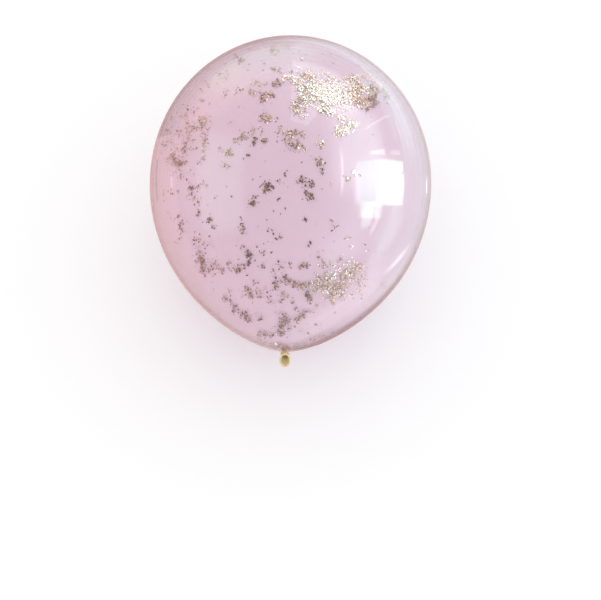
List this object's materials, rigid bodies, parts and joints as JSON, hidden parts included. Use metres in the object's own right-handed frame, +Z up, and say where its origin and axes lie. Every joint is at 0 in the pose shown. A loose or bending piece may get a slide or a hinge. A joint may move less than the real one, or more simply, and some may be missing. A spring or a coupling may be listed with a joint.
{
  "type": "confetti balloon",
  "caption": "Round-topped latex party balloon, blown up and tied, clear outside over pale pink, with rose-gold foil confetti between the layers; lies on its side.",
  "frame": {"origin": "on the floor, under the middle of the balloon's bounding box as it lies on its side", "axes": "+Z up; +Y along the balloon as it lies, from the knot towards the crown, which points 7 degrees above level; +X to the right seen from the knot"},
  "size_m": [0.28, 0.337, 0.2793],
  "materials": {
    "clear_latex": "gloss",
    "pink_latex": "gloss",
    "amber_latex": "satin",
    "rose_gold_foil": "polished"
  },
  "bodies": {
    "root": {"outer_balloon": "clear_latex"}
  },
  "joints": []
}
